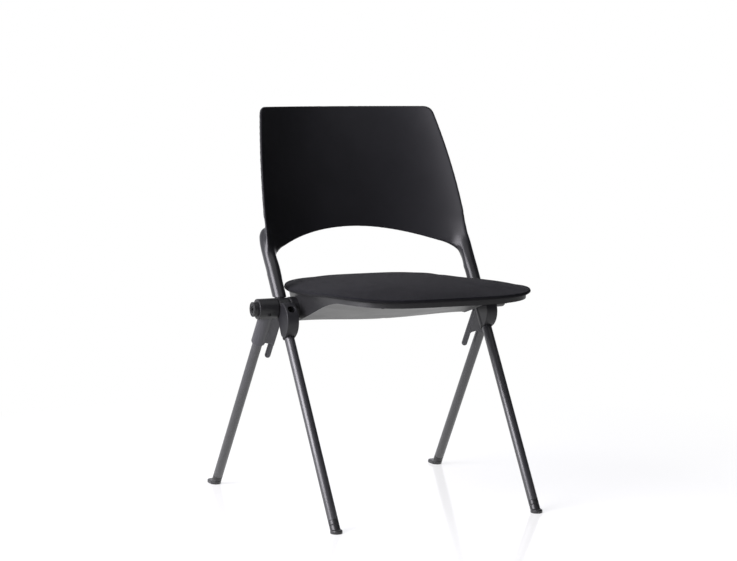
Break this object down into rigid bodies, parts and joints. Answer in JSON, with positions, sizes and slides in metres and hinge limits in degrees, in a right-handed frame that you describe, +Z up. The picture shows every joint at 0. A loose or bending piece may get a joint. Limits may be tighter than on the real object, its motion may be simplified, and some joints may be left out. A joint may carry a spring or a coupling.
{
  "type": "tip-up nesting chair",
  "caption": "Armless visitor chair with straight splayed tube legs, a moulded curved back on round columns and a thin upholstered seat that tips up for nesting in rows.",
  "frame": {"origin": "on the floor, at the middle of the chair's box", "axes": "+Z up, -Y the way the sitter faces, +X to the sitter's left"},
  "size_m": [0.5696, 0.6295, 0.8],
  "materials": {
    "back_plastic": "black moulded plastic with a satin grain",
    "bracket_plastic": "dark grey glass-filled moulding, satin",
    "leg_paint": "black powder coat on steel tube, semi-gloss",
    "foot_plastic": "black moulded plastic, smooth",
    "pan_plastic": "dark grey moulded plastic, matt",
    "seat_fabric": "charcoal woven upholstery",
    "seat_board": "raw plywood",
    "zinc_steel": "zinc plated",
    "black_steel": "blackened steel",
    "bush_nylon": "grey nylon",
    "stop_rubber": "black rubber"
  },
  "bodies": {
    "frame": {"backrest_shell": "back_plastic", "front_bracket_right": "bracket_plastic", "front_bracket_left": "bracket_plastic", "rear_bracket_right": "bracket_plastic", "rear_bracket_left": "bracket_plastic", "link_boss_right": "bracket_plastic", "link_boss_left": "bracket_plastic", "front_leg_right": "leg_paint", "front_leg_left": "leg_paint", "rear_leg_right": "leg_paint", "rear_leg_left": "leg_paint", "cross_beam": "leg_paint", "front_foot_right": "foot_plastic", "front_foot_left": "foot_plastic", "rear_foot_right": "foot_plastic", "rear_foot_left": "foot_plastic", "hub_bolt_right": "zinc_steel", "hub_bolt_left": "zinc_steel", "beam_plug_right": "zinc_steel", "beam_plug_left": "zinc_steel", "clamp_screw_right": "black_steel", "clamp_screw_left": "black_steel", "hub_grub_screw_right": "black_steel", "hub_grub_screw_left": "black_steel", "stop_lug_right": "black_steel", "stop_lug_left": "black_steel", "stop_pad_right": "stop_rubber", "stop_pad_left": "stop_rubber"},
    "seat": {"seat_pan": "pan_plastic", "seat_board": "seat_board", "seat_pad": "seat_fabric", "pivot_bush_right": "bush_nylon", "pivot_bush_left": "bush_nylon", "pad_screw_front_right": "black_steel", "pad_screw_front_left": "black_steel", "pad_screw_rear_right": "black_steel", "pad_screw_rear_left": "black_steel"}
  },
  "joints": [
    {"name": "seat_tip", "type": "hinge", "parent": "frame", "child": "seat", "pos_m": [0, 0.0101, 0.403], "axis": [-1, 0, 0], "range_deg": [0, 75]}
  ]
}
